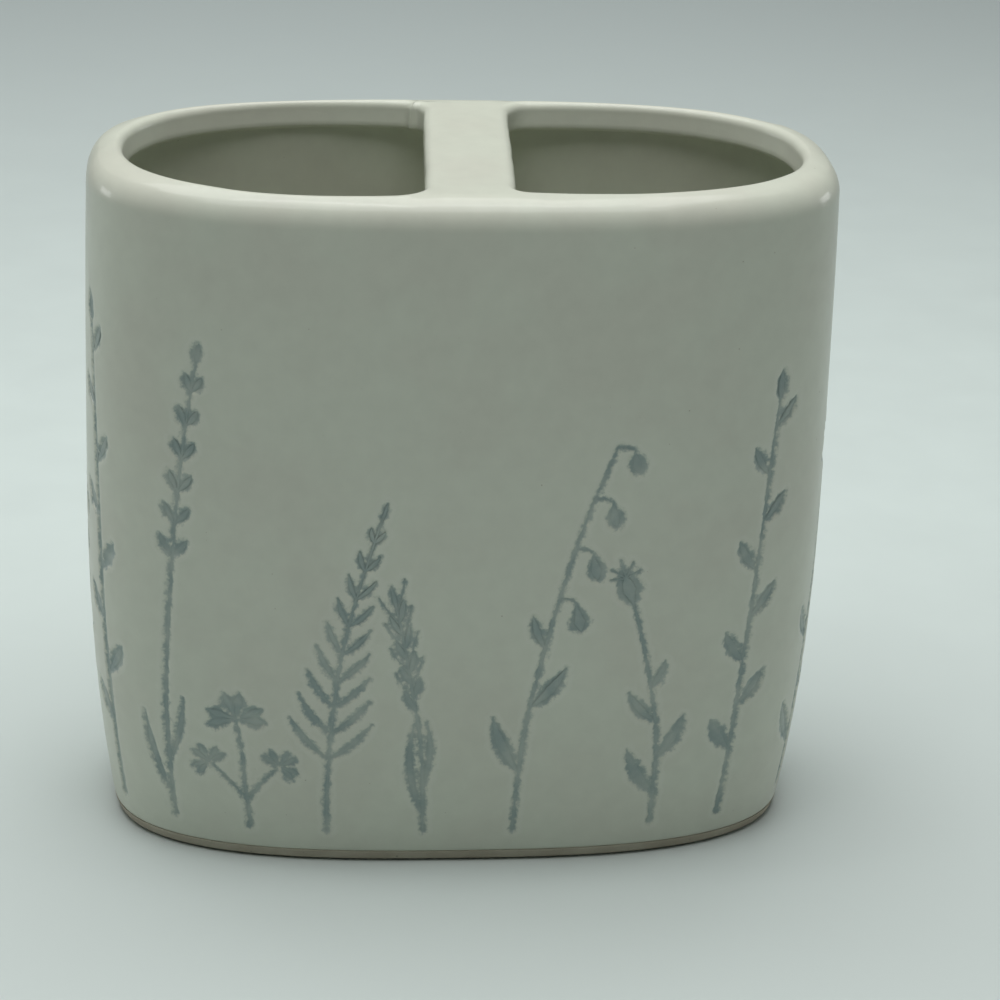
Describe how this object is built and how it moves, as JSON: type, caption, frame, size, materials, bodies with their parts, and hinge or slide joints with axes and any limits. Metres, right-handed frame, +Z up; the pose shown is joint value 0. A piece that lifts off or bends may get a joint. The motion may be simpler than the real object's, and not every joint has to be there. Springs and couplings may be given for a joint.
{
  "type": "toothbrush holder",
  "caption": "Oval glazed ceramic toothbrush holder with a rounded shoulder, D-shaped openings on either side of a flush bar, a bare foot ring and sunk line-drawn plants.",
  "frame": {"origin": "middle of the foot ring's underside, on the surface that the pot stands on", "axes": "+X to the pot's right end seen from its front, +Y to its back, +Z up"},
  "size_m": [0.113, 0.058, 0.107],
  "materials": {
    "glaze": "satin off-white glaze",
    "bare_clay": "unglazed, wiped",
    "line_colour": "grey-blue underglaze colour lying in the sunk lines"
  },
  "bodies": {
    "root": {"body_wall": "glaze", "base_plate": "glaze", "foot_ring": "bare_clay", "top_deck": "glaze", "divider_bar": "glaze", "front_inlay": "line_colour", "right_inlay": "line_colour", "back_inlay": "line_colour", "left_inlay": "line_colour"}
  },
  "joints": []
}
